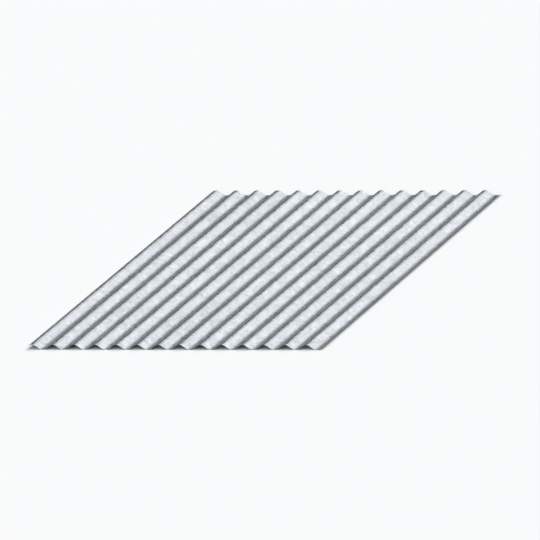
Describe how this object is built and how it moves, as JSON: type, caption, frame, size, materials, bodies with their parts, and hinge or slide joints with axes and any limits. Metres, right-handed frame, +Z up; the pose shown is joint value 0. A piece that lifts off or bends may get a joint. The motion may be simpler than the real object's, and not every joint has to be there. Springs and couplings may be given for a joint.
{
  "type": "corrugated metal sheet",
  "caption": "Thin galvanised steel sheet rolled into even rounded waves along its whole length, with plain sheared ends, for roofing and cladding.",
  "frame": {"origin": "on the floor under the middle of the sheet, level with the underside of its troughs", "axes": "+Y along the corrugations, +X across them, +Z up out of the upper face"},
  "size_m": [1.0644, 1.8, 0.0178],
  "materials": {
    "galvanised_steel": "satin"
  },
  "bodies": {
    "root": {"corrugated_sheet": "galvanised_steel"}
  },
  "joints": []
}
